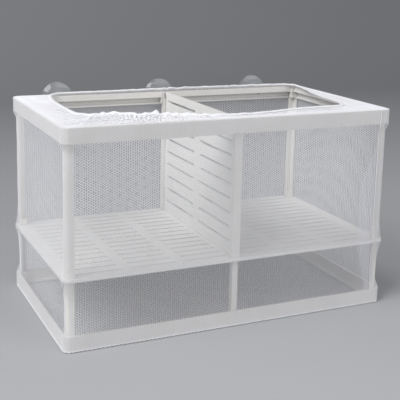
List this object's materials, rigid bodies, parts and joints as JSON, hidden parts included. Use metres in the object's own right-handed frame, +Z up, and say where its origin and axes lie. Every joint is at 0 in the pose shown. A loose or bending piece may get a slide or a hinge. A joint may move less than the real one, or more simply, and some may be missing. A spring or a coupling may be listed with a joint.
{
  "type": "fish breeding box",
  "caption": "Rectangular hanging aquarium nursery: white frame on posts, slotted false floor, lift-out slotted divider, fine net bag with an elastic hem, suction cups on the back.",
  "frame": {"origin": "centre of the underside: middle of the overall length and of the overall depth, suction cups included, at the level of the net's underside", "axes": "+X to the right along the length, +Y to the back where the suction cups are, +Z up"},
  "size_m": [0.2656, 0.1594, 0.168],
  "materials": {
    "white_plastic": "satin moulded white",
    "net": "fine white knitted mesh, see-through",
    "hem": "gathered white hem over elastic",
    "clear_soft_plastic": "clear soft moulding, glossy"
  },
  "bodies": {
    "box": {"top_frame": "white_plastic", "bottom_frame": "white_plastic", "upper_post_front_left": "white_plastic", "upper_post_front_right": "white_plastic", "upper_post_back_left": "white_plastic", "upper_post_back_right": "white_plastic", "lower_post_front_left": "white_plastic", "lower_post_front_right": "white_plastic", "lower_post_back_left": "white_plastic", "lower_post_back_right": "white_plastic", "middle_post_front": "white_plastic", "middle_post_back": "white_plastic", "lower_middle_post_front": "white_plastic", "lower_middle_post_back": "white_plastic", "grate": "white_plastic", "net_front": "net", "net_back": "net", "net_left": "net", "net_right": "net", "net_floor": "net", "net_cuff": "net", "elastic_hem": "hem"},
    "divider": {"divider": "white_plastic"},
    "cup_left": {"suction_cup_left": "clear_soft_plastic"},
    "cup_middle": {"suction_cup_middle": "clear_soft_plastic"},
    "cup_right": {"suction_cup_right": "clear_soft_plastic"}
  },
  "joints": [
    {"name": "divider_slide", "type": "slide", "parent": "box", "child": "divider", "axis": [0, 0, 1], "range_m": [0, 0.112], "deforming": ["net_cuff", "elastic_hem"]},
    {"name": "cup_left_turn", "type": "hinge", "parent": "box", "child": "cup_left", "pos_m": [-0.092, 0.0677, 0.1545], "axis": [0, 1, 0], "continuous": true},
    {"name": "cup_middle_turn", "type": "hinge", "parent": "box", "child": "cup_middle", "pos_m": [0, 0.0677, 0.1545], "axis": [0, 1, 0], "continuous": true},
    {"name": "cup_right_turn", "type": "hinge", "parent": "box", "child": "cup_right", "pos_m": [0.092, 0.0677, 0.1545], "axis": [0, 1, 0], "continuous": true}
  ]
}
